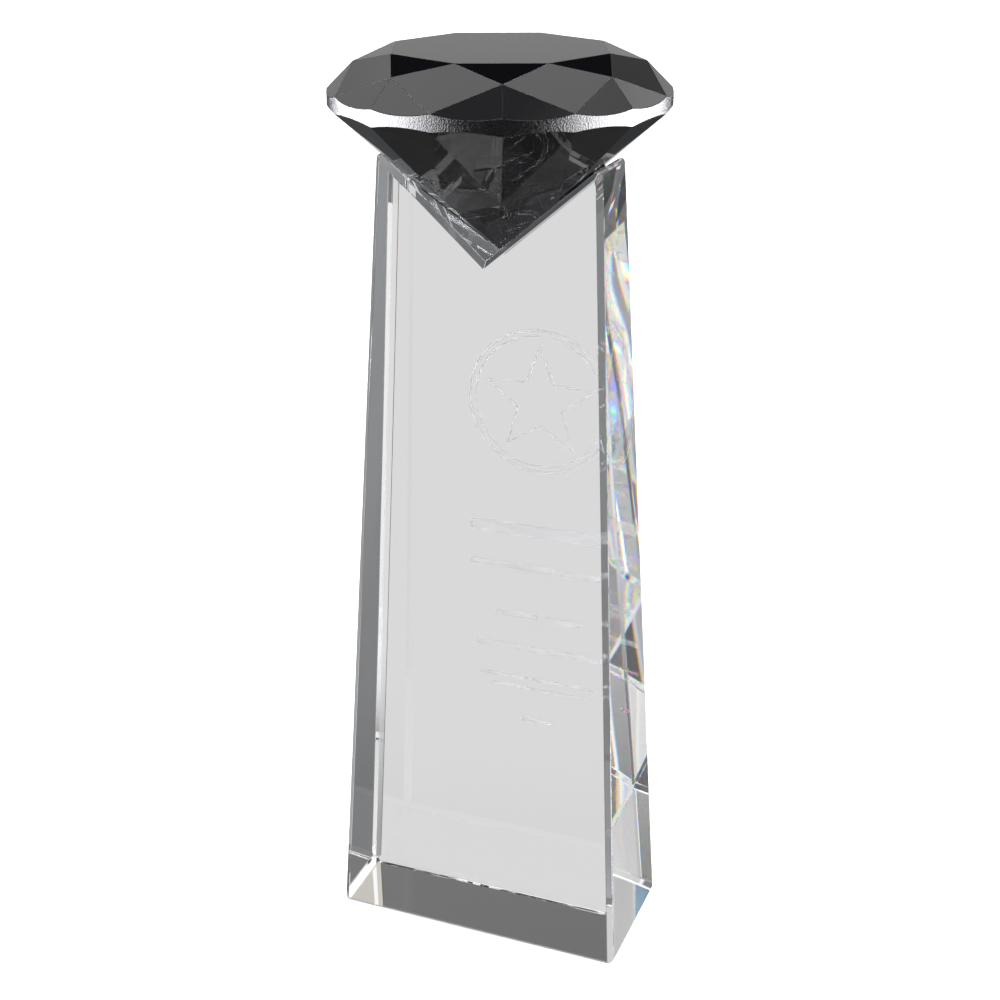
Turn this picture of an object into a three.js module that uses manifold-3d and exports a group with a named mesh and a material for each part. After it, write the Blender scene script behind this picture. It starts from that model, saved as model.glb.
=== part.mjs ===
// Crystal award: a tapered block of optical crystal with a V notch across its
// top, and a black brilliant-cut stone bonded point-down in the notch.
// Millimetres, +Z up. The origin is the middle of the base, on the surface the
// award stands on. The front face looks along -Y.
import * as THREE from 'three';
import { mergeVertices } from 'three/addons/utils/BufferGeometryUtils.js';
import Module from 'manifold-3d';

const wasm = await Module();
wasm.setup();

// ---- Driving dimensions ------------------------------------------------------

// Tower: a rectangular frustum, wide and deep at the base.
const TOWER_HEIGHT = 208.4;
const BASE_WIDTH = 79;
const BASE_DEPTH = 38.4;
const TOP_WIDTH = 56.4;
const TOP_DEPTH = 18.8;
const EDGE_CHAMFER = 1.4; // flat ground on every long edge, along each face
const NOTCH_CHAMFER = 1.2; // the same on the notch's front and back edges
const HORN_CHAMFER = 0.6; // on the narrow tops of the two horns

// The notch's walls and the stone's pavilion main facets share one slope, so
// that each wall carries one main facet flat against it.
const SEAT_ANGLE = 41;
const NOTCH_DEPTH = 23.1;

// Stone: a round brilliant, eight-fold, with a thick ground girdle.
const STONE_DIAMETER = 80;
const TABLE_DIAMETER = 53.2; // across the corners of the eight-sided table
const STAR_DIAMETER = 67.7; // across the points where stars, kites and halves meet
const JUNCTION_DIAMETER = 38; // across the points where mains and lower halves meet
const CROWN_HEIGHT = 8.6;
const GIRDLE_THICKNESS = 4; // at the tips of the kites and mains
const GIRDLE_DIP = 0.45; // how far the girdle's edges dip between those tips
const CULET_FLAT = 0.25; // the point is ground off by this height
const FOLD = 8;
const GIRDLE_SEGMENTS = 96;

// Bond: a layer of clear adhesive between each notch wall and the main facet on it.
const BOND_GAP = 0.5;
const FILM_THICKNESS = 0.3;
const FILM_MARGIN = 0.8; // from the film's edge to the edge of the main facet
const FILM_LOW_RADIUS = 3; // distances from the stone's axis where the film begins
const FILM_HIGH_RADIUS = 25; // and ends

// ---- Derived dimensions ------------------------------------------------------

const seat = THREE.MathUtils.degToRad(SEAT_ANGLE);
const halfStep = Math.PI / FOLD; // from the axis of a kite to the axis of a star
const notchFloorZ = TOWER_HEIGHT - NOTCH_DEPTH;
const culetZ = notchFloorZ + BOND_GAP / Math.cos(seat);
const stoneRadius = STONE_DIAMETER / 2;
const girdleBottomZ = culetZ + stoneRadius * Math.tan(seat);
const girdleTopZ = girdleBottomZ + GIRDLE_THICKNESS;
const tableZ = girdleTopZ + CROWN_HEIGHT;

// ---- Geometry helpers --------------------------------------------------------

function toSolid(geometry) {
  const bare = geometry.clone();
  bare.deleteAttribute('normal');
  bare.deleteAttribute('uv');
  const merged = mergeVertices(bare);
  return new wasm.Manifold(new wasm.Mesh({
    numProp: 3,
    vertProperties: new Float32Array(merged.attributes.position.array),
    triVerts: new Uint32Array(merged.index.array),
  }));
}

function toGeometry(solid) {
  const mesh = solid.getMesh();
  const geometry = new THREE.BufferGeometry();
  geometry.setAttribute('position', new THREE.BufferAttribute(mesh.vertProperties, 3));
  geometry.setIndex(new THREE.BufferAttribute(mesh.triVerts, 1));
  geometry.computeVertexNormals();
  return geometry;
}

// A block big enough to take away everything beyond one flat plane. The plane
// passes through `point`, and `normal` points into what is taken away.
const CUTTER_SIZE = 700;
const UP = new THREE.Vector3(0, 0, 1);

function beyond(point, normal) {
  const cutter = new THREE.BoxGeometry(CUTTER_SIZE, CUTTER_SIZE, CUTTER_SIZE);
  cutter.translate(0, 0, CUTTER_SIZE / 2);
  cutter.applyQuaternion(new THREE.Quaternion().setFromUnitVectors(UP, normal.clone().normalize()));
  cutter.translate(point.x, point.y, point.z);
  return toSolid(cutter);
}

// The outward normal of the plane through three points of a body around `inside`.
function normalThrough(a, b, c, inside) {
  const normal = b.clone().sub(a).cross(c.clone().sub(a)).normalize();
  return normal.dot(a.clone().sub(inside)) < 0 ? normal.negate() : normal;
}

// ---- Tower -------------------------------------------------------------------

// Outward normals of the side faces, which lean in by half the taper.
const sideNormal = (sign) => new THREE.Vector3(sign * TOWER_HEIGHT, 0, (BASE_WIDTH - TOP_WIDTH) / 2).normalize();
const faceNormal = (sign) => new THREE.Vector3(0, sign * TOWER_HEIGHT, (BASE_DEPTH - TOP_DEPTH) / 2).normalize();
const wallNormal = (sign) => new THREE.Vector3(-sign * Math.sin(seat), 0, Math.cos(seat));

// A plane that takes `chamfer` off both faces of an edge through `point`.
function chamferCutter(point, normalA, normalB, chamfer) {
  const normal = normalA.clone().add(normalB).normalize();
  const cosine = normalA.dot(normalB);
  const depth = chamfer * Math.sqrt((1 + cosine) / 2) * Math.sqrt(1 - cosine * cosine) / (1 + cosine);
  return beyond(point.clone().addScaledVector(normal, -depth), normal);
}

function makeTower() {
  const block = new THREE.BoxGeometry(BASE_WIDTH * 2, BASE_DEPTH * 2, TOWER_HEIGHT);
  block.translate(0, 0, TOWER_HEIGHT / 2);
  let tower = toSolid(block);
  const cut = (cutter) => { tower = tower.subtract(cutter); };

  const down = UP.clone().negate();
  for (const sign of [-1, 1]) {
    const sideFoot = new THREE.Vector3(sign * BASE_WIDTH / 2, 0, 0);
    const faceFoot = new THREE.Vector3(0, sign * BASE_DEPTH / 2, 0);
    const sideTop = new THREE.Vector3(sign * TOP_WIDTH / 2, 0, TOWER_HEIGHT);
    cut(beyond(sideFoot, sideNormal(sign)));
    cut(beyond(faceFoot, faceNormal(sign)));
    cut(chamferCutter(sideFoot, sideNormal(sign), down, EDGE_CHAMFER));
    cut(chamferCutter(faceFoot, faceNormal(sign), down, EDGE_CHAMFER));
    cut(chamferCutter(sideTop, sideNormal(sign), UP, HORN_CHAMFER));
    for (const end of [-1, 1]) {
      const corner = new THREE.Vector3(sign * BASE_WIDTH / 2, end * BASE_DEPTH / 2, 0);
      cut(chamferCutter(corner, sideNormal(sign), faceNormal(end), EDGE_CHAMFER));
    }
  }

  // The notch is everything above both walls. Each of its chamfers is everything
  // above two planes in the same way, so that they meet in a mitre at the groove.
  const groove = (sign) => {
    const lean = (BASE_DEPTH - TOP_DEPTH) / 2 / TOWER_HEIGHT;
    return new THREE.Vector3(0, sign * (BASE_DEPTH / 2 - lean * notchFloorZ), notchFloorZ);
  };
  const middle = new THREE.Vector3(0, 0, notchFloorZ);
  cut(beyond(middle, wallNormal(-1)).intersect(beyond(middle, wallNormal(1))));
  for (const end of [-1, 1]) {
    const walls = [-1, 1].map((side) => (
      chamferCutter(groove(end), wallNormal(side), faceNormal(end), NOTCH_CHAMFER)));
    cut(walls[0].intersect(walls[1]));
    const top = new THREE.Vector3(0, end * TOP_DEPTH / 2, TOWER_HEIGHT);
    cut(chamferCutter(top, faceNormal(end), UP, HORN_CHAMFER));
  }
  return toGeometry(tower);
}

// ---- Stone -------------------------------------------------------------------

// A point at `radius` from the stone's axis, `turns` half steps round from the
// front: even numbers lie on a kite or main, odd ones on a star.
function around(radius, turns, z) {
  const angle = turns * halfStep;
  return new THREE.Vector3(radius * Math.sin(angle), -radius * Math.cos(angle), z);
}

function makeStone() {
  const blank = new THREE.CylinderGeometry(
    stoneRadius, stoneRadius, tableZ - culetZ - CULET_FLAT, GIRDLE_SEGMENTS);
  blank.rotateX(Math.PI / 2);
  blank.translate(0, 0, (tableZ + culetZ + CULET_FLAT) / 2);
  let stone = toSolid(blank);

  const heart = new THREE.Vector3(0, 0, girdleBottomZ);
  const facet = (a, b, c) => {
    stone = stone.subtract(beyond(a, normalThrough(a, b, c, heart)));
  };

  const kiteSlope = CROWN_HEIGHT / (stoneRadius - TABLE_DIAMETER / 2);
  const starRadius = STAR_DIAMETER / 2;
  const starZ = girdleTopZ + kiteSlope * (stoneRadius - starRadius * Math.cos(halfStep));
  const junctionRadius = JUNCTION_DIAMETER / 2;
  const junctionZ = culetZ + Math.tan(seat) * junctionRadius * Math.cos(halfStep);
  const culet = new THREE.Vector3(0, 0, culetZ);

  for (let tip = 0; tip < 2 * FOLD; tip += 2) {
    // Crown: a kite on each tip, and a star between it and the next.
    facet(around(TABLE_DIAMETER / 2, tip, tableZ), around(starRadius, tip - 1, starZ),
      around(starRadius, tip + 1, starZ));
    facet(around(TABLE_DIAMETER / 2, tip, tableZ), around(TABLE_DIAMETER / 2, tip + 2, tableZ),
      around(starRadius, tip + 1, starZ));
    // Pavilion: a main under each kite.
    facet(culet, around(junctionRadius, tip - 1, junctionZ), around(junctionRadius, tip + 1, junctionZ));
    // Upper and lower halves, in pairs either side of the tip.
    for (const side of [-1, 1]) {
      facet(around(starRadius, tip + side, starZ), around(stoneRadius, tip, girdleTopZ),
        around(stoneRadius, tip + side, girdleTopZ - GIRDLE_DIP));
      facet(around(junctionRadius, tip + side, junctionZ), around(stoneRadius, tip, girdleBottomZ),
        around(stoneRadius, tip + side, girdleBottomZ - GIRDLE_DIP));
    }
  }
  return toGeometry(stone);
}

// ---- Bond films --------------------------------------------------------------

// A film follows the outline of the main facet above it: it widens from the
// point of the stone to the junctions, and narrows again up the wall.
function makeFilm() {
  const junctionRadius = JUNCTION_DIAMETER / 2;
  const junctionX = junctionRadius * Math.cos(halfStep);
  const junctionHalf = junctionRadius * Math.sin(halfStep);
  const halfWidth = (x) => {
    const grow = junctionHalf * x / junctionX;
    const shrink = junctionHalf * (stoneRadius - x) / (stoneRadius - junctionX);
    return Math.min(grow, shrink) - FILM_MARGIN;
  };
  const along = (x) => x / Math.cos(seat);
  const stations = [FILM_LOW_RADIUS, junctionX, FILM_HIGH_RADIUS];
  const outline = new THREE.Shape([
    ...stations.map((x) => new THREE.Vector2(along(x), -halfWidth(x))),
    ...stations.toReversed().map((x) => new THREE.Vector2(along(x), halfWidth(x))),
  ]);
  const film = new THREE.ExtrudeGeometry(outline, { depth: FILM_THICKNESS, bevelEnabled: false });
  film.translate(0, 0, (BOND_GAP - FILM_THICKNESS) / 2);
  return film;
}

// ---- Materials ---------------------------------------------------------------

const opticalCrystal = new THREE.MeshStandardMaterial({
  color: 0xdfe6e4, roughness: 0.02, metalness: 0, transparent: true, opacity: 0.35, flatShading: true });
const blackCrystal = new THREE.MeshStandardMaterial({
  color: 0x17171b, roughness: 0.05, metalness: 0, flatShading: true });
const clearAdhesive = new THREE.MeshStandardMaterial({
  color: 0xc9cfc8, roughness: 0.1, metalness: 0, transparent: true, opacity: 0.5 });

// ---- Assembly ----------------------------------------------------------------

const award = new THREE.Group();

const tower = new THREE.Mesh(makeTower(), opticalCrystal);
tower.name = 'crystal_tower';
award.add(tower);

const stone = new THREE.Mesh(makeStone(), blackCrystal);
stone.name = 'black_diamond';
award.add(stone);

// One film lies on each wall. The right one climbs along +X, and the left one is
// the same film turned half round the stone's axis.
for (const [name, turn] of [['left_bond_film', Math.PI], ['right_bond_film', 0]]) {
  const seatGroup = new THREE.Group();
  seatGroup.position.z = notchFloorZ;
  seatGroup.rotation.z = turn;
  const film = new THREE.Mesh(makeFilm(), clearAdhesive);
  film.name = name;
  film.rotation.y = -seat;
  seatGroup.add(film);
  award.add(seatGroup);
}

export default award;
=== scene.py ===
"""Looks of the crystal award: a tapered block of optical crystal with a black brilliant in its notch.

Everything is in metres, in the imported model's frame: +Z up, front face along -Y, base on Z = 0.
"""

import math

import bmesh
import bpy
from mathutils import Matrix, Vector


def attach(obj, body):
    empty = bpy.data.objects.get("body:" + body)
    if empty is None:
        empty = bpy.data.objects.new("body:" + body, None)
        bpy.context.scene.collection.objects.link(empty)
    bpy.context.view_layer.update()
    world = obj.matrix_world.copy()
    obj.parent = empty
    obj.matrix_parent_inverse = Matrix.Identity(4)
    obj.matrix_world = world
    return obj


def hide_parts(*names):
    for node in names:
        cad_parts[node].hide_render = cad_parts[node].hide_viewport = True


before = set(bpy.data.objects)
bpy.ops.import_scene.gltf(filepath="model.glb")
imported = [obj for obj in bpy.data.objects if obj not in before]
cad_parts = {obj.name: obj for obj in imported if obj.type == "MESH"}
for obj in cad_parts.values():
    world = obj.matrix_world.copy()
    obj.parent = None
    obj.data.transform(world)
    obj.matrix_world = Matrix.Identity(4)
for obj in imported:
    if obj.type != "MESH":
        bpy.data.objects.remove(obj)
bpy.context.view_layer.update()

bl_info = {
    "name": "Crystal Award Builder",
    "version": (1, 0, 0),
    "blender": (4, 5, 0),
    "location": "View3D > Sidebar > Award",
    "description": "Builds the pieces, finishes and studio of a crystal award around its packed frame",
    "category": "Object",
}

MM = 0.001


# ---- Node and colour helpers -------------------------------------------------


def linear(hex_colour):
    """A linear RGBA colour from an sRGB hex value such as "#C8D0CE"."""
    def channel(text):
        value = int(text, 16) / 255
        return value / 12.92 if value <= 0.04045 else ((value + 0.055) / 1.055) ** 2.4
    digits = hex_colour.lstrip("#")
    return (*[channel(digits[i:i + 2]) for i in (0, 2, 4)], 1.0)


def add_node(tree, kind, inputs=None, **settings):
    """Adds a node, sets its properties, and sets or links its inputs by name or index."""
    made = tree.nodes.new(kind)
    for key, value in settings.items():
        setattr(made, key, value)
    for key, value in (inputs or {}).items():
        if isinstance(value, bpy.types.NodeSocket):
            tree.links.new(value, made.inputs[key])
        else:
            made.inputs[key].default_value = value
    return made


def new_material(name):
    """An empty node material, with its tree and output node."""
    material = bpy.data.materials.new(name)
    material.use_nodes = True
    material.node_tree.nodes.clear()
    return material, material.node_tree, add_node(material.node_tree, "ShaderNodeOutputMaterial")


# ---- Materials ---------------------------------------------------------------

WHITE = "#FFFFFF"
CRYSTAL_INDEX = 1.52
BLACK_CRYSTAL_INDEX = 1.54
ADHESIVE_INDEX = 1.5


def polished_crystal(name, tint, spread=0.0, waviness=0.0):
    """Lead-free optical crystal, ground flat and polished: clear, colourless, sharp reflections.

    spread opens the index between red and blue light, which gives a cut edge its coloured fringes.
    waviness is the height in metres of the long soft waves that hand polishing leaves on a narrow
    face, which bend the lines seen through it.
    """
    material, tree, out = new_material(name)
    if not spread:
        glass = add_node(tree, "ShaderNodeBsdfPrincipled", {
            "Base Color": linear(tint), "Roughness": 0.0, "IOR": CRYSTAL_INDEX,
            "Transmission Weight": 1.0})
        tree.links.new(glass.outputs[0], out.inputs["Surface"])
        return material

    shape = {}
    if waviness:
        wave_length = 26 * MM
        noise_swing = 0.25  # how far smooth noise usually swings, as a share of its range
        coords = add_node(tree, "ShaderNodeTexCoord")
        swell = add_node(tree, "ShaderNodeTexNoise", {
            "Vector": coords.outputs["Object"], "Scale": 1 / wave_length, "Detail": 0.0})
        wave = add_node(tree, "ShaderNodeBump", {
            "Height": swell.outputs["Fac"], "Strength": 1.0, "Distance": waviness / noise_swing})
        shape = {"Normal": wave.outputs[0]}
    # The colours part where a ray meets the face from outside. From inside, one index serves.
    bands = None
    for colour, shift in (("#FF0000", -spread), ("#00FF00", 0.0), ("#0000FF", spread)):
        band = add_node(tree, "ShaderNodeBsdfRefraction", {
            "Color": linear(colour), "Roughness": 0.0, "IOR": CRYSTAL_INDEX + shift, **shape})
        bands = band if bands is None else add_node(
            tree, "ShaderNodeAddShader", {0: bands.outputs[0], 1: band.outputs[0]})
    plain = add_node(tree, "ShaderNodeBsdfRefraction", {
        "Color": linear(tint), "Roughness": 0.0, "IOR": CRYSTAL_INDEX, **shape})
    geometry = add_node(tree, "ShaderNodeNewGeometry")
    bend = add_node(tree, "ShaderNodeMixShader", {
        0: geometry.outputs["Backfacing"], 1: bands.outputs[0], 2: plain.outputs[0]})
    mirror = add_node(tree, "ShaderNodeBsdfGlossy", {
        "Color": linear(WHITE), "Roughness": 0.0, **shape})
    fresnel = add_node(tree, "ShaderNodeFresnel", {"IOR": CRYSTAL_INDEX, **shape})
    glass = add_node(tree, "ShaderNodeMixShader", {
        0: fresnel.outputs[0], 1: bend.outputs[0], 2: mirror.outputs[0]})
    tree.links.new(glass.outputs[0], out.inputs["Surface"])
    return material


def black_crystal(name, density, dark_face=False):
    """Black crystal, cut and polished: glass so deep in tone that only thin parts let light through.

    A dark face shows a clean black mirror from outside, where the crystal behind it is thickest.
    """
    material, tree, out = new_material(name)
    glass = add_node(tree, "ShaderNodeBsdfPrincipled", {
        "Base Color": linear(WHITE), "Roughness": 0.0, "IOR": BLACK_CRYSTAL_INDEX,
        "Transmission Weight": 1.0})
    surface = glass
    if dark_face:
        mirror = add_node(tree, "ShaderNodeBsdfPrincipled", {
            "Base Color": linear("#050507"), "Roughness": 0.0, "IOR": BLACK_CRYSTAL_INDEX})
        geometry = add_node(tree, "ShaderNodeNewGeometry")
        surface = add_node(tree, "ShaderNodeMixShader", {
            0: geometry.outputs["Backfacing"], 1: mirror.outputs[0], 2: glass.outputs[0]})
    dye = add_node(tree, "ShaderNodeVolumeAbsorption", {
        "Color": linear("#404060"), "Density": density})
    tree.links.new(surface.outputs[0], out.inputs["Surface"])
    tree.links.new(dye.outputs[0], out.inputs["Volume"])
    return material


def ground_girdle():
    """Black crystal ground with fine grit: a satin band that spreads the light into a grainy sheen."""
    grit = 0.12 * MM
    shown = 3 * grit  # drawn three times as coarse as the grit, or it would not show
    material, tree, out = new_material("black crystal, fine ground")
    coords = add_node(tree, "ShaderNodeTexCoord")
    grain = add_node(tree, "ShaderNodeTexNoise", {
        "Vector": coords.outputs["Object"], "Scale": 1 / shown, "Detail": 3.0})
    rough = add_node(tree, "ShaderNodeMapRange", {
        "Value": grain.outputs["Fac"], "To Min": 0.22, "To Max": 0.32})
    bump = add_node(tree, "ShaderNodeBump", {
        "Height": grain.outputs["Fac"], "Strength": 0.9, "Distance": grit})
    satin = add_node(tree, "ShaderNodeBsdfPrincipled", {
        "Base Color": linear("#040405"), "Roughness": rough.outputs[0], "IOR": BLACK_CRYSTAL_INDEX,
        "Normal": bump.outputs[0]})
    tree.links.new(satin.outputs[0], out.inputs["Surface"])
    return material


def engraved_frost(cover):
    """Crystal eroded by a fine jet of grit: a pale veil that the light behind still comes through."""
    grain_width = 0.25 * MM  # drawn coarser than the grit, or it would not show
    unevenness = 0.3
    material, tree, out = new_material("optical crystal, sand engraved")
    coords = add_node(tree, "ShaderNodeTexCoord")
    grain = add_node(tree, "ShaderNodeTexNoise", {
        "Vector": coords.outputs["Object"], "Scale": 1 / grain_width, "Detail": 2.0})
    amount = add_node(tree, "ShaderNodeMapRange", {
        "Value": grain.outputs["Fac"], "To Min": cover * (1 - unevenness),
        "To Max": cover * (1 + unevenness)})
    clear = add_node(tree, "ShaderNodeBsdfTransparent", {"Color": linear(WHITE)})
    frost = add_node(tree, "ShaderNodeBsdfDiffuse", {"Color": linear("#C4C6C8"), "Roughness": 0.5})
    veil = add_node(tree, "ShaderNodeMixShader", {
        0: amount.outputs[0], 1: clear.outputs[0], 2: frost.outputs[0]})
    tree.links.new(veil.outputs[0], out.inputs["Surface"])
    return material


def cured_adhesive():
    """Clear adhesive cured by ultraviolet light: against the black stone it reads as black."""
    material, tree, out = new_material("clear adhesive over black crystal")
    layer = add_node(tree, "ShaderNodeBsdfPrincipled", {
        "Base Color": linear("#0B0C10"), "Roughness": 0.08, "IOR": ADHESIVE_INDEX})
    tree.links.new(layer.outputs[0], out.inputs["Surface"])
    return material


def painted_floor():
    """A smooth board in matt white paint, for an even pale ground."""
    material, tree, out = new_material("matt white paint")
    paint = add_node(tree, "ShaderNodeBsdfDiffuse", {"Color": linear("#F6F6F6"), "Roughness": 0.5})
    tree.links.new(paint.outputs[0], out.inputs["Surface"])
    return material


# ---- Mesh helpers ------------------------------------------------------------


def flat_faced_copy(node):
    """A bmesh of a CAD node with its triangles joined back into whole flat faces."""
    weld = 0.002 * MM
    flat = math.radians(0.2)
    bm = bmesh.new()
    bm.from_mesh(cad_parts[node].data)
    bmesh.ops.remove_doubles(bm, verts=bm.verts, dist=weld)
    bmesh.ops.dissolve_limit(bm, angle_limit=flat, verts=bm.verts, edges=bm.edges)
    bmesh.ops.recalc_face_normals(bm, faces=bm.faces)
    return bm


def ease_edges(bm, width, keep=lambda edge: True):
    """Rounds every edge that turns by more than a little and that keep accepts, as polishing does."""
    turning = math.radians(2.0)
    round_profile = 0.5
    sharp = [e for e in bm.edges if e.is_manifold and e.calc_face_angle(0) > turning and keep(e)]
    bmesh.ops.bevel(bm, geom=sharp, offset=width, offset_type="OFFSET", segments=2,
                    profile=round_profile, affect="EDGES", clamp_overlap=True)


def place(bm, name, materials, slot):
    """Makes an object of the bmesh, which rides on the award's one body."""
    mesh = bpy.data.meshes.new(name)
    bm.to_mesh(mesh)
    bm.free()
    for material in materials:
        mesh.materials.append(material)
    piece = bpy.data.objects.new(name, mesh)
    bpy.context.scene.collection.objects.link(piece)
    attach(piece, "root")
    return piece


# ---- Sizes and colours a user may change -------------------------------------


class TowerSettings(bpy.types.PropertyGroup):
    """The block of clear crystal."""

    arris: bpy.props.FloatProperty(
        name="Arris", description="Rounding left on each edge by polishing",
        default=0.22 * MM, min=0.0, subtype="DISTANCE", unit="LENGTH")
    face_tint: bpy.props.StringProperty(
        name="Face tint", description="sRGB tint of the two broad faces", default="#FAF9FA")
    waviness: bpy.props.FloatProperty(
        name="Waviness", description="Height of the soft waves left in the two side faces",
        default=0.03 * MM, min=0.0, subtype="DISTANCE", unit="LENGTH")
    spread: bpy.props.FloatProperty(
        name="Colour spread", description="Index step between green and either red or blue",
        default=0.004, min=0.0)


class MotifSettings(bpy.types.PropertyGroup):
    """The generic engraving on the back face."""

    ring_radius: bpy.props.FloatProperty(
        name="Ring radius", description="Outer radius of the engraved ring",
        default=19 * MM, subtype="DISTANCE", unit="LENGTH")
    middle: bpy.props.FloatProperty(
        name="Middle", description="Offset of the engraving's middle from the award's axis",
        default=9.5 * MM, subtype="DISTANCE", unit="LENGTH")
    line_width: bpy.props.FloatProperty(
        name="Line width", description="Width of the outer ring's line, which the other lines follow",
        default=0.7 * MM, subtype="DISTANCE", unit="LENGTH")
    ring_height: bpy.props.FloatProperty(
        name="Ring height", description="Height of the ring's middle above the base",
        default=147 * MM, subtype="DISTANCE", unit="LENGTH")
    depth: bpy.props.FloatProperty(
        name="Depth", description="Depth of the engraving", default=0.3 * MM,
        subtype="DISTANCE", unit="LENGTH")
    cover: bpy.props.FloatProperty(
        name="Cover", description="Share of light that the frosted surface scatters",
        default=0.18, min=0.0, max=1.0, subtype="FACTOR")


class StoneSettings(bpy.types.PropertyGroup):
    """The black brilliant."""

    arris: bpy.props.FloatProperty(
        name="Arris", description="Rounding left between facets", default=0.09 * MM, min=0.0,
        subtype="DISTANCE", unit="LENGTH")
    density: bpy.props.FloatProperty(
        name="Density", description="Absorption of the black crystal per metre", default=62.0, min=0.0)


class StudioSettings(bpy.types.PropertyGroup):
    """Floor, lights and camera."""

    camera_azimuth: bpy.props.FloatProperty(
        name="Camera azimuth", description="Camera's angle round the award from the front, towards +X",
        default=math.radians(21.7), subtype="ANGLE", unit="ROTATION")
    camera_distance: bpy.props.FloatProperty(
        name="Camera distance", description="Level distance from the award's axis",
        default=0.397, subtype="DISTANCE", unit="LENGTH")
    camera_height: bpy.props.FloatProperty(
        name="Camera height", description="Height above the floor", default=0.2887,
        subtype="DISTANCE", unit="LENGTH")
    camera_tilt: bpy.props.FloatProperty(
        name="Camera tilt", description="Angle that the camera looks down by",
        default=math.radians(22.92), subtype="ANGLE", unit="ROTATION")
    lens: bpy.props.FloatProperty(
        name="Lens", description="Focal length in millimetres, on a 36 mm sensor", default=60.95)


# ---- Operators ---------------------------------------------------------------

TOWER_FINISHES = ("broad", "side", "base", "notch", "chamfer")
STONE_FINISHES = ("pavilion", "girdle", "crown")


def tower_finish(normal):
    """Which finish a face of the tower takes, from the way it looks."""
    square_on, upward, hardly = 0.98, 0.6, 0.1
    if normal.z < -square_on:
        return "base"
    if abs(normal.y) > square_on:
        return "broad"
    if abs(normal.x) > square_on:
        return "side"
    if normal.z > upward and abs(normal.y) < hardly:
        return "notch"
    return "chamfer"


def stone_finish(normal):
    """Which finish a facet of the stone takes, from the way it looks."""
    hardly = 0.02
    if abs(normal.z) < hardly:
        return "girdle"
    return "crown" if normal.z > 0 else "pavilion"


class AWARD_OT_build_tower(bpy.types.Operator):
    """Build the tapered block with its V notch, chamfers and polished faces"""

    bl_idname = "award.build_tower"
    bl_label = "Crystal tower"

    def execute(self, context):
        settings = context.scene.award_tower
        bm = flat_faced_copy("crystal_tower")
        for face in bm.faces:
            face.material_index = TOWER_FINISHES.index(tower_finish(face.normal))
        ease_edges(bm, settings.arris)
        finishes = {
            "broad": polished_crystal("optical crystal, broad face", settings.face_tint),
            "side": polished_crystal("optical crystal, side face", WHITE, settings.spread,
                                     settings.waviness),
            "base": polished_crystal("optical crystal, base", WHITE),
            "notch": polished_crystal("optical crystal, notch wall", WHITE),
            "chamfer": polished_crystal("optical crystal, chamfer", WHITE),
        }
        piece = place(bm, "tower_body", [finishes[key] for key in TOWER_FINISHES], "optical_crystal")
        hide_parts("crystal_tower")
        return {"FINISHED"}


# Rows of plain bars below the ring: height of the row's middle above the base, height of its bars,
# and their widths, in millimetres.
MOTIF_BARS = (
    (111.5, 3.4, (38,)), (101, 1.6, (23, 13)), (87, 1.5, (12, 10)), (77.5, 1.6, (13, 20)),
    (68.5, 0.8, (14, 5, 12)), (65.5, 0.8, (9, 16)), (56, 1.2, (9,)))


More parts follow.
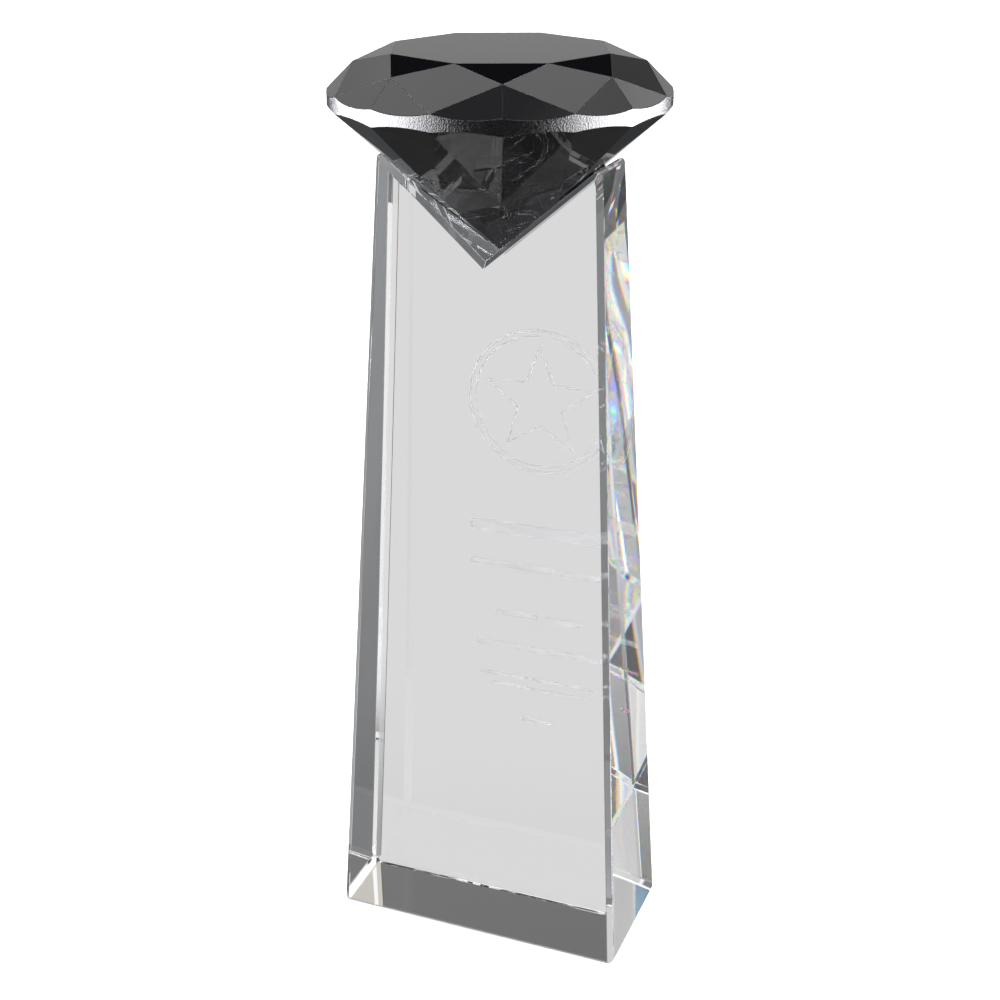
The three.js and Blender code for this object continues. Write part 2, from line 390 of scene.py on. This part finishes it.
class AWARD_OT_build_motif(bpy.types.Operator):
    """Engrave a generic star in a ring, and plain bars below it, in the back face"""

    bl_idname = "award.build_motif"
    bl_label = "Engraved motif"

    def execute(self, context):
        settings = context.scene.award_motif
        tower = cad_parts["crystal_tower"].data
        back = max(tower.polygons, key=lambda face: face.normal.y * face.area)
        normal = Vector(back.normal)
        anchor = Vector(tower.vertices[back.vertices[0]].co)

        def on_face(x, z):
            """The point of the back face at that place across and height above the base."""
            y = anchor.y - (x - anchor.x) * normal.x / normal.y - (z - anchor.z) * normal.z / normal.y
            return Vector((x, y, z))

        bm = bmesh.new()

        def engrave(outline, hole=()):
            """A shallow prism under the face; hole has as many points as outline, or none."""
            skin = 0.02 * MM  # keeps the frost off the face itself
            loops = []
            for points in (outline, hole):
                top = [bm.verts.new(on_face(x, z) - normal * skin) for x, z in points]
                low = [bm.verts.new(on_face(x, z) - normal * settings.depth) for x, z in points]
                loops.append((top, low))
            (top, low), (hole_top, hole_low) = loops
            count = len(top)
            for i in range(count):
                j = (i + 1) % count
                bm.faces.new((top[i], top[j], low[j], low[i]))
                if hole:
                    bm.faces.new((hole_top[j], hole_top[i], hole_low[i], hole_low[j]))
                    bm.faces.new((top[j], top[i], hole_top[i], hole_top[j]))
                    bm.faces.new((low[i], low[j], hole_low[j], hole_low[i]))
            if not hole:
                bm.faces.new(top[::-1])
                bm.faces.new(low)

        def circle(radius):
            """A circle in many short sides."""
            count = 96
            turn = 2 * math.pi / count
            return [(settings.middle + radius * math.sin(i * turn),
                     settings.ring_height + radius * math.cos(i * turn)) for i in range(count)]

        def star(reach):
            """A five-pointed star whose points reach that far from its middle."""
            waist = 0.42  # how far out the inner corners lie, as a share of the reach
            points = []
            for i in range(10):
                r, angle = reach if i % 2 == 0 else waist * reach, i * math.pi / 5
                points.append((settings.middle + r * math.sin(angle),
                               settings.ring_height + r * math.cos(angle)))
            return points

        def bar(start, width, height, z):
            """A plain bar with round ends."""
            r, steps = height / 2, 10
            points = []
            for middle, side in ((start + width - r, 1), (start + r, -1)):
                for i in range(steps + 1):
                    angle = math.pi * i / steps
                    points.append((middle + side * r * math.sin(angle), z + side * r * math.cos(angle)))
            return points

        radius, line = settings.ring_radius, settings.line_width
        inner_outside, inner_inside = radius - 2.4 * line, radius - 3.0 * line  # a finer inner ring
        reach = radius * 0.8
        point_gap = 1.9 * line  # outer point to inner: its slanting sides are two thirds of a line wide
        engrave(circle(radius), circle(radius - line))
        engrave(circle(inner_outside), circle(inner_inside))
        engrave(star(reach), star(reach - point_gap))
        for z, height, widths in MOTIF_BARS:
            gap = 1.2 * height
            start = settings.middle / MM - (sum(widths) + gap * (len(widths) - 1)) / 2
            for width in widths:
                engrave(bar(start * MM, width * MM, height * MM, z * MM))
                start += width + gap
        bmesh.ops.recalc_face_normals(bm, faces=bm.faces)
        place(bm, "engraved_motif", [engraved_frost(settings.cover)], "optical_crystal")
        return {"FINISHED"}


class AWARD_OT_build_stone(bpy.types.Operator):
    """Build the black brilliant with polished facets and a ground girdle"""

    bl_idname = "award.build_stone"
    bl_label = "Black stone"

    def execute(self, context):
        settings = context.scene.award_stone
        bm = flat_faced_copy("black_diamond")

        def on_girdle(face):
            """The girdle is ground round: its flats are shaded as one curve, with no arris between."""
            return stone_finish(face.normal) == "girdle"

        for face in bm.faces:
            face.material_index = STONE_FINISHES.index(stone_finish(face.normal))
        ease_edges(bm, settings.arris, lambda edge: not all(on_girdle(f) for f in edge.link_faces))
        for face in bm.faces:
            face.smooth = on_girdle(face)
        finishes = {
            "pavilion": black_crystal("black crystal, polished pavilion", settings.density),
            "girdle": ground_girdle(),
            "crown": black_crystal("black crystal, polished crown", settings.density, dark_face=True),
        }
        piece = place(bm, "stone_body", [finishes[key] for key in STONE_FINISHES], "black_crystal")
        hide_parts("black_diamond")
        return {"FINISHED"}


class AWARD_OT_build_bond(bpy.types.Operator):
    """Lay the adhesive films between the stone and the notch"""

    bl_idname = "award.build_bond"
    bl_label = "Bond films"

    def execute(self, context):
        film = cured_adhesive()
        filling = 0.13 * MM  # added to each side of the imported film, so that it meets both crystals
        for side in ("left", "right"):
            node = f"{side}_bond_film"
            bm = flat_faced_copy(node)
            normal = max(bm.faces, key=lambda face: face.calc_area() * face.normal.z).normal.copy()
            middle = sum((v.co for v in bm.verts), Vector()) / len(bm.verts)
            for vert in bm.verts:
                outward = 1 if (vert.co - middle).dot(normal) > 0 else -1
                vert.co += normal * outward * filling
            piece = place(bm, f"{side}_adhesive", [film], "clear_adhesive")
            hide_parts(node)
        return {"FINISHED"}


COOL = "#EEF4F8"
SAND = "#F4F0E4"

# The soft panels and dark walls that polished crystal shows, with "behind" beyond the award as the
# camera looks, and "in front" on the camera's side. Each profile climbs through stops of degrees
# above the horizon, brightness and tint, and changes evenly from one stop to the next.
ROOM = {
    "behind": (
        (-90, 0.42, WHITE), (16, 0.42, WHITE), (20, 0.58, WHITE), (28, 0.58, WHITE), (35, 0.11, WHITE),
        (40, 0.11, WHITE), (43, 0.01, WHITE), (52, 0.01, WHITE), (58, 1.8, WHITE), (68, 1.8, WHITE),
        (75, 0.3, WHITE)),
    "half aside": (
        (-90, 0.42, WHITE), (16, 0.42, WHITE), (23, 0.01, WHITE), (52, 0.01, WHITE), (58, 1.8, WHITE),
        (68, 1.8, WHITE), (75, 0.3, WHITE)),
    "left": (
        (-90, 0.45, WHITE), (1, 0.45, WHITE), (20, 0.54, WHITE), (29, 1.2, WHITE), (33, 1.2, WHITE),
        (36, 0.6, WHITE), (43, 0.6, WHITE), (47, 2.0, WHITE), (68, 1.9, WHITE), (75, 0.3, WHITE)),
    "right": (
        (-90, 0.42, WHITE), (14, 0.42, WHITE), (18, 0.16, WHITE), (22, 0.16, WHITE), (28, 1.6, WHITE),
        (30, 1.5, WHITE), (32, 0.62, SAND), (35, 0.62, SAND), (37, 0.14, WHITE), (41, 0.14, WHITE),
        (45, 0.8, WHITE), (60, 1.6, WHITE), (68, 1.6, WHITE), (75, 0.3, WHITE)),
    "far sides": (
        (-90, 1.0, WHITE), (26, 1.2, WHITE), (33, 0.6, WHITE), (44, 0.6, WHITE), (52, 1.0, WHITE),
        (60, 1.2, WHITE), (75, 0.3, WHITE)),
    "in front": (
        (-90, 0.8, WHITE), (12, 0.8, WHITE), (18, 1.0, WHITE), (25, 1.0, WHITE), (30, 0.55, WHITE),
        (38, 0.65, WHITE), (45, 0.8, WHITE), (60, 1.0, WHITE), (75, 0.3, WHITE)),
}

# The tones below the horizon behind the award: the lit floor, with darker, cooler bands painted in
# as the award's own shadow on it. Each stop gives how far across it is, from left (-1) to right (1),
# its brightness and its tint.
FLOOR_AND_PAINTED_SHADOW_BEHIND = (
    (-1.0, 0.9, WHITE), (-0.82, 0.9, WHITE), (-0.75, 0.24, COOL), (-0.22, 0.14, COOL),
    (-0.16, 0.715, WHITE), (0.15, 0.715, WHITE), (0.19, 0.09, COOL), (0.34, 0.09, COOL),
    (0.38, 0.715, WHITE), (0.47, 0.715, WHITE), (0.52, 0.15, COOL), (0.60, 0.18, COOL),
    (0.68, 0.27, COOL), (0.75, 0.27, COOL), (0.82, 0.9, WHITE))

FLOOR_IN_FRONT = 0.9
# Painted shadow: the floor seen steeply down under the award is darkened where the award's shade falls.
PAINTED_SHADOW_UNDER_TONE = 0.15
EVEN_LIGHT = 1.0
DARK_WALL = 0.01
SIDE_BOX_LIGHT = (24.0, 24.0, 25.0, 1.0)

# Where one part of the room gives way to the next, as limits of a direction's unit vector: its
# distance to either side, its X to the right, its Y away from the camera or its Z up.
ASIDE_TO_HALF = (0.12, 0.16)
ASIDE_TO_SIDES = (0.26, 0.37)
ASIDE_TO_FAR_SIDES = (0.74, 0.84)
ASIDE_TO_SIDE_BOXES = (0.74, 0.80)
X_TO_RIGHT = (-0.01, 0.01)
Y_TO_FRONT = (-0.15, -0.5)
Z_TO_PAINTED_SHADOW_UNDER = (-0.70, -0.77)
Z_TO_ABOVE = (-0.06, 0.02)
LEVEL_MIDDLE, LEVEL_REACH = -0.10, 0.38  # the band of Z in which unpolished surfaces see boxes


class AWARD_OT_build_studio(bpy.types.Operator):
    """Set up the floor, the soft lights and the camera"""

    bl_idname = "award.build_studio"
    bl_label = "Studio"

    def execute(self, context):
        settings = context.scene.award_studio
        scene = context.scene
        bounces = 64  # light turns many times inside the crystal before it comes out
        scene.view_settings.view_transform = "Standard"
        scene.cycles.max_bounces = bounces
        scene.cycles.glossy_bounces = bounces
        scene.cycles.transmission_bounces = bounces
        self.lay_floor(scene)
        self.light_studio(scene, settings)
        self.place_light(scene)
        self.place_camera(scene, settings)
        return {"FINISHED"}

    def lay_floor(self, scene):
        """The board under the award. Crystal shows the room's own tones below the horizon instead,
        with the award's shadow painted into them.
        """
        half_width = 6.0
        bm = bmesh.new()
        bmesh.ops.create_grid(bm, x_segments=1, y_segments=1, size=half_width)
        mesh = bpy.data.meshes.new("floor")
        bm.to_mesh(mesh)
        bm.free()
        mesh.materials.append(painted_floor())
        floor = bpy.data.objects.new("floor", mesh)
        scene.collection.objects.link(floor)
        floor.visible_glossy = False
        floor.visible_transmission = False

    def light_studio(self, scene, settings):
        """Lights the room by direction, fixed in place and square to the camera's first heading.

        The background and matt surfaces get an even white instead, and surfaces that are neither
        matt nor polished see two side boxes and a dark wall near the horizon.
        """
        world = bpy.data.worlds.new("studio")
        world.use_nodes = True
        tree = world.node_tree
        tree.nodes.clear()
        ray = add_node(tree, "ShaderNodeLightPath")
        coords = add_node(tree, "ShaderNodeTexCoord")
        turned = add_node(tree, "ShaderNodeVectorRotate", {
            "Vector": coords.outputs["Generated"], "Angle": -settings.camera_azimuth},
            rotation_type="Z_AXIS")
        axes = add_node(tree, "ShaderNodeSeparateXYZ", {0: turned.outputs[0]})
        rise = add_node(tree, "ShaderNodeMath", {0: axes.outputs["Z"]}, operation="ARCSINE")
        height = add_node(tree, "ShaderNodeMapRange", {
            "Value": rise.outputs[0], "From Min": -math.pi / 2, "From Max": math.pi / 2})
        across = add_node(tree, "ShaderNodeMapRange", {
            "Value": axes.outputs["X"], "From Min": -1.0, "From Max": 1.0})
        aside = add_node(tree, "ShaderNodeMath", {0: axes.outputs["X"]}, operation="ABSOLUTE")

        def even(tone):
            """The same neutral light everywhere."""
            return (tone, tone, tone, 1.0)

        def tones(place, stops):
            """Light that changes along a place from 0 to 1, through stops of place, tone and tint."""
            ramp = add_node(tree, "ShaderNodeValToRGB", {0: place})
            elements = ramp.color_ramp.elements
            while len(elements) < len(stops):
                elements.new(1.0)
            for element, (position, tone, tint) in zip(elements, stops):
                element.position = position
                element.color = [tone * part for part in linear(tint)[:3]] + [1]
            return ramp.outputs[0]

        def blend(share, first, second):
            """First where the share is 0, second where it is 1."""
            mix = add_node(tree, "ShaderNodeMix", {"Factor": share, "A": first, "B": second},
                           data_type="RGBA")
            return mix.outputs["Result"]

        def step(value, limits):
            """A share that rises smoothly from 0 at the first limit to 1 at the second."""
            ease = add_node(tree, "ShaderNodeMapRange", {
                "Value": value, "From Min": limits[0], "From Max": limits[1]},
                interpolation_type="SMOOTHSTEP")
            return ease.outputs[0]

        sky = {}
        for name, stops in ROOM.items():
            sky[name] = tones(height.outputs[0], [((degrees + 90) / 180, tone, tint)
                                                  for degrees, tone, tint in stops])
        # The floor behind the award, with the award's shadow painted into it as darker bands.
        floor_and_shadow_behind = tones(across.outputs[0], [((place + 1) / 2, tone, tint)
                                          for place, tone, tint in FLOOR_AND_PAINTED_SHADOW_BEHIND])
        in_front = step(axes.outputs["Y"], Y_TO_FRONT)
        sides = blend(step(axes.outputs["X"], X_TO_RIGHT), sky["left"], sky["right"])
        above = blend(step(aside.outputs[0], ASIDE_TO_HALF), sky["behind"], sky["half aside"])
        above = blend(step(aside.outputs[0], ASIDE_TO_SIDES), above, sides)
        above = blend(step(aside.outputs[0], ASIDE_TO_FAR_SIDES), above, sky["far sides"])
        above = blend(in_front, above, sky["in front"])
        below = blend(in_front, floor_and_shadow_behind, even(FLOOR_IN_FRONT))
        # Steeply down, the floor gives way to the painted shadow under the award.
        below = blend(step(axes.outputs["Z"], Z_TO_PAINTED_SHADOW_UNDER), below, even(PAINTED_SHADOW_UNDER_TONE))
        room = blend(step(axes.outputs["Z"], Z_TO_ABOVE), below, above)

        boxes = blend(step(aside.outputs[0], ASIDE_TO_SIDE_BOXES), even(DARK_WALL), SIDE_BOX_LIGHT)
        level = add_node(tree, "ShaderNodeMath", {
            0: axes.outputs["Z"], 1: LEVEL_MIDDLE, 2: LEVEL_REACH}, operation="COMPARE")
        unpolished = add_node(tree, "ShaderNodeMath", {
            0: level.outputs[0], 1: ray.outputs["Is Singular Ray"]}, operation="SUBTRACT",
            use_clamp=True)
        seen = blend(unpolished.outputs[0], room, boxes)
        plain_ray = add_node(tree, "ShaderNodeMath", {
            0: ray.outputs["Is Camera Ray"], 1: ray.outputs["Is Diffuse Ray"]}, operation="MAXIMUM")
        light = blend(plain_ray.outputs[0], seen, even(EVEN_LIGHT))
        back = add_node(tree, "ShaderNodeBackground", {"Color": light})
        out = add_node(tree, "ShaderNodeOutputWorld")
        tree.links.new(back.outputs[0], out.inputs["Surface"])
        scene.world = world

    def place_light(self, scene):
        """One broad soft box overhead, which only matt surfaces take light from."""
        width, watts, height = 0.8, 9.0, 1.3
        lamp = bpy.data.lights.new("overhead_box", "AREA")
        lamp.size = width
        lamp.energy = watts
        box = bpy.data.objects.new("overhead_box", lamp)
        scene.collection.objects.link(box)
        box.location = (0.0, 0.0, height)
        box.visible_camera = False
        box.visible_glossy = False
        box.visible_transmission = False

    def place_camera(self, scene, settings):
        """The camera looks at the award from the front right, a little from above."""
        data = bpy.data.cameras.new("camera")
        data.lens = settings.lens
        data.clip_start = 10 * MM
        camera = bpy.data.objects.new("camera", data)
        scene.collection.objects.link(camera)
        azimuth = settings.camera_azimuth
        camera.location = (settings.camera_distance * math.sin(azimuth),
                           -settings.camera_distance * math.cos(azimuth), settings.camera_height)
        camera.rotation_euler = (math.pi / 2 - settings.camera_tilt, 0, azimuth)
        scene.camera = camera


class AWARD_PT_builder(bpy.types.Panel):
    """Lists the award's pieces and their settings"""

    bl_idname = "AWARD_PT_builder"
    bl_label = "Crystal Award"
    bl_space_type = "VIEW_3D"
    bl_region_type = "UI"
    bl_category = "Award"

    def draw(self, context):
        for title, group, operators in (
            ("Tower", "award_tower", ("award.build_tower",)),
            ("Engraving", "award_motif", ("award.build_motif",)),
            ("Stone", "award_stone", ("award.build_stone", "award.build_bond")),
            ("Studio", "award_studio", ("award.build_studio",)),
        ):
            box = self.layout.box()
            box.label(text=title)
            settings = getattr(context.scene, group)
            for name in settings.__annotations__:
                box.prop(settings, name)
            for operator in operators:
                box.operator(operator)


# ---- Registration and run ----------------------------------------------------

GROUPS = {"award_tower": TowerSettings, "award_motif": MotifSettings, "award_stone": StoneSettings,
          "award_studio": StudioSettings}
CLASSES = (*GROUPS.values(), AWARD_OT_build_tower, AWARD_OT_build_motif, AWARD_OT_build_stone,
           AWARD_OT_build_bond, AWARD_OT_build_studio, AWARD_PT_builder)


def register():
    for cls in CLASSES:
        bpy.utils.register_class(cls)
    for name, cls in GROUPS.items():
        setattr(bpy.types.Scene, name, bpy.props.PointerProperty(type=cls))


def unregister():
    for name in GROUPS:
        delattr(bpy.types.Scene, name)
    for cls in reversed(CLASSES):
        bpy.utils.unregister_class(cls)


def main():
    register()
    bpy.ops.award.build_studio()
    bpy.ops.award.build_tower()
    bpy.ops.award.build_motif()
    bpy.ops.award.build_stone()
    bpy.ops.award.build_bond()


if __name__ == "__main__":
    main()
